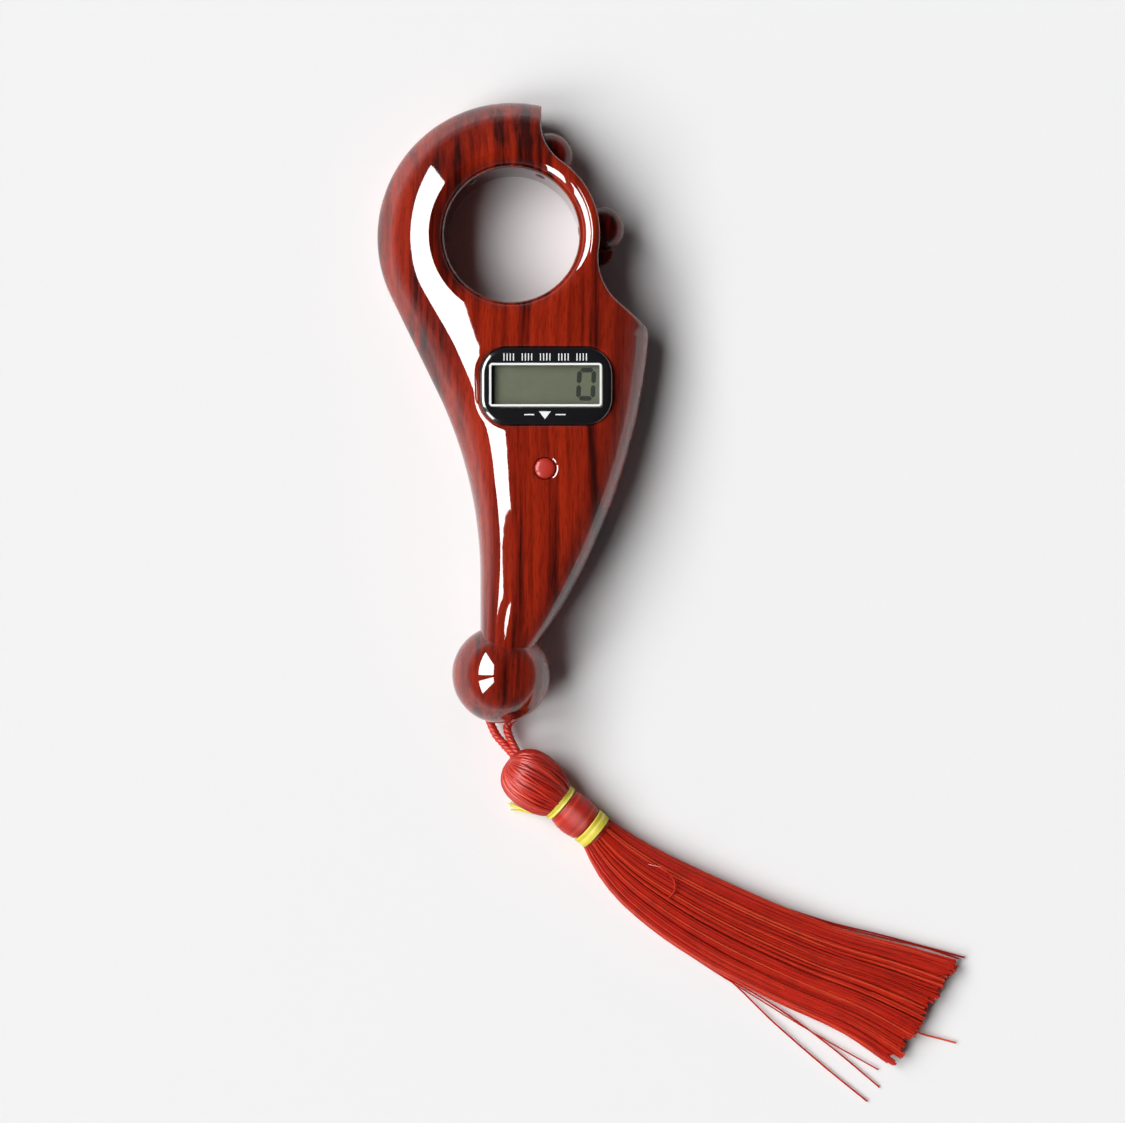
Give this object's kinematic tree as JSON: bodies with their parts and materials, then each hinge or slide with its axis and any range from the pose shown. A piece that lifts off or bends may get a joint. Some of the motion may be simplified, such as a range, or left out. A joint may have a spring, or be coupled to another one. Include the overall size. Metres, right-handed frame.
{
  "type": "hand tally counter",
  "caption": "Ring-style hand tally counter: comma-shaped glossy body with finger hole, thumb-rolled bead wheel, small display, reset button, cord and silk tassel.",
  "frame": {"origin": "centre of the finger hole on the flat back plane", "axes": "+Z along the finger hole from the back to the front face with the display, +Y from the ball end towards the finger ring, +X towards the open side where the beads show"},
  "size_m": [0.092, 0.1628, 0.016],
  "materials": {
    "wood_shell": "high gloss wood-grain print under clear coat",
    "wheel_plastic": "gloss dark red plastic",
    "bead_gloss": "high gloss dark red beads",
    "spring_steel": "plain spring steel",
    "lens_black": "gloss black bezel with a clear window",
    "lcd_glass": "grey-green reflective liquid crystal display",
    "frame_plastic": "matte moulded plastic",
    "zebra_rubber": "soft layered rubber",
    "board_green": "solder mask",
    "resin_black": "cured resin",
    "can_metal": "satin metal can",
    "chip_ceramic": "matte ceramic",
    "button_red": "semi-gloss red plastic",
    "cell_steel": "polished steel",
    "seal_rubber": "black rubber",
    "screw_steel": "zinc plated",
    "red_cord": "twisted satin cord",
    "red_silk": "glossy silk thread",
    "yellow_silk": "glossy silk thread"
  },
  "bodies": {
    "root": {"front_shell": "wood_shell", "rear_shell": "wood_shell", "finger_liner": "wood_shell", "detent_spring": "spring_steel", "count_spring": "spring_steel", "count_contact": "spring_steel", "display_lens": "lens_black", "lcd_glass": "lcd_glass", "lcd_frame": "frame_plastic", "zebra_strip": "zebra_rubber", "circuit_board": "board_green", "chip_blob": "resin_black", "crystal_can": "can_metal", "board_chips": "chip_ceramic", "reset_dome": "spring_steel", "button_cell": "cell_steel", "cell_contact_plus": "spring_steel", "cell_contact_minus": "spring_steel", "cap_seal": "seal_rubber", "shell_screws": "screw_steel", "board_screws": "screw_steel"},
    "bead_wheel": {"wheel_carrier": "wheel_plastic", "wheel_beads": "bead_gloss"},
    "reset_button": {"reset_button": "button_red"},
    "battery_cap": {"battery_cap": "wheel_plastic"},
    "cord": {"cord_loop": "red_cord"},
    "tassel": {"tassel_head": "red_silk", "tassel_wrap": "red_silk", "band_upper": "yellow_silk", "band_lower": "yellow_silk", "band_thread_end": "yellow_silk", "tassel_skirt": "red_silk"}
  },
  "joints": [
    {"name": "bead_wheel_turn", "type": "hinge", "parent": "root", "child": "bead_wheel", "pos_m": [0, 0, 0.0079], "axis": [0, 0, 1], "continuous": true},
    {"name": "reset_press", "type": "slide", "parent": "root", "child": "reset_button", "axis": [0, 0, -1], "range_m": [0, 0.0008]},
    {"name": "battery_cap_twist", "type": "hinge", "parent": "root", "child": "battery_cap", "pos_m": [0.0055, -0.036, 0], "axis": [0, 0, -1], "range_deg": [0, 60]},
    {"name": "cord_swing", "type": "hinge", "parent": "root", "child": "cord", "pos_m": [-0.0018, -0.0754, 0.0042], "axis": [-1, 0, 0], "range_deg": [0, 35]},
    {"name": "tassel_swing", "type": "hinge", "parent": "cord", "child": "tassel", "pos_m": [0.0009, -0.084, 0.0044], "axis": [0, 0, 1], "range_deg": [-45, 30]}
  ]
}
